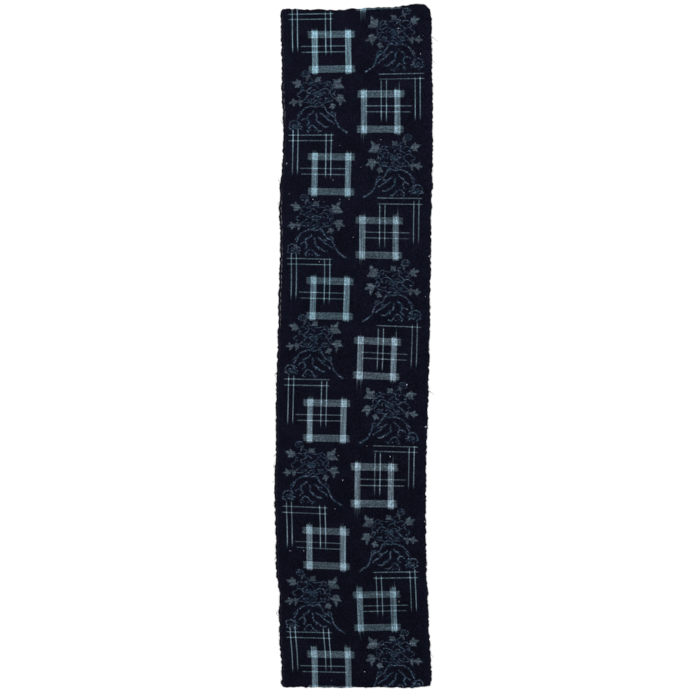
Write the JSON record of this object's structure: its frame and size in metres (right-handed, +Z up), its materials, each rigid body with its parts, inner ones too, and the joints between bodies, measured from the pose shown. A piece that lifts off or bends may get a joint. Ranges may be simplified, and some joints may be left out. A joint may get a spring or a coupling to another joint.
{
  "type": "ikat panel",
  "caption": "Long narrow panel of indigo picture-ikat cotton lying flat, patterned with woven open squares, crossing bars and flowering sprigs.",
  "frame": {"origin": "middle of the cloth's outline, on the surface that it lies on", "axes": "+X across the cloth towards its right selvedge, +Y along it towards its upper end, +Z up out of its face"},
  "size_m": [0.3456, 1.4938, 0.0027],
  "materials": {
    "indigo_cotton": "matt plain-weave cotton, indigo-black ground with pale blue-grey resist-dyed bars, squares and sprigs"
  },
  "bodies": {
    "root": {"cloth": "indigo_cotton"}
  },
  "joints": []
}
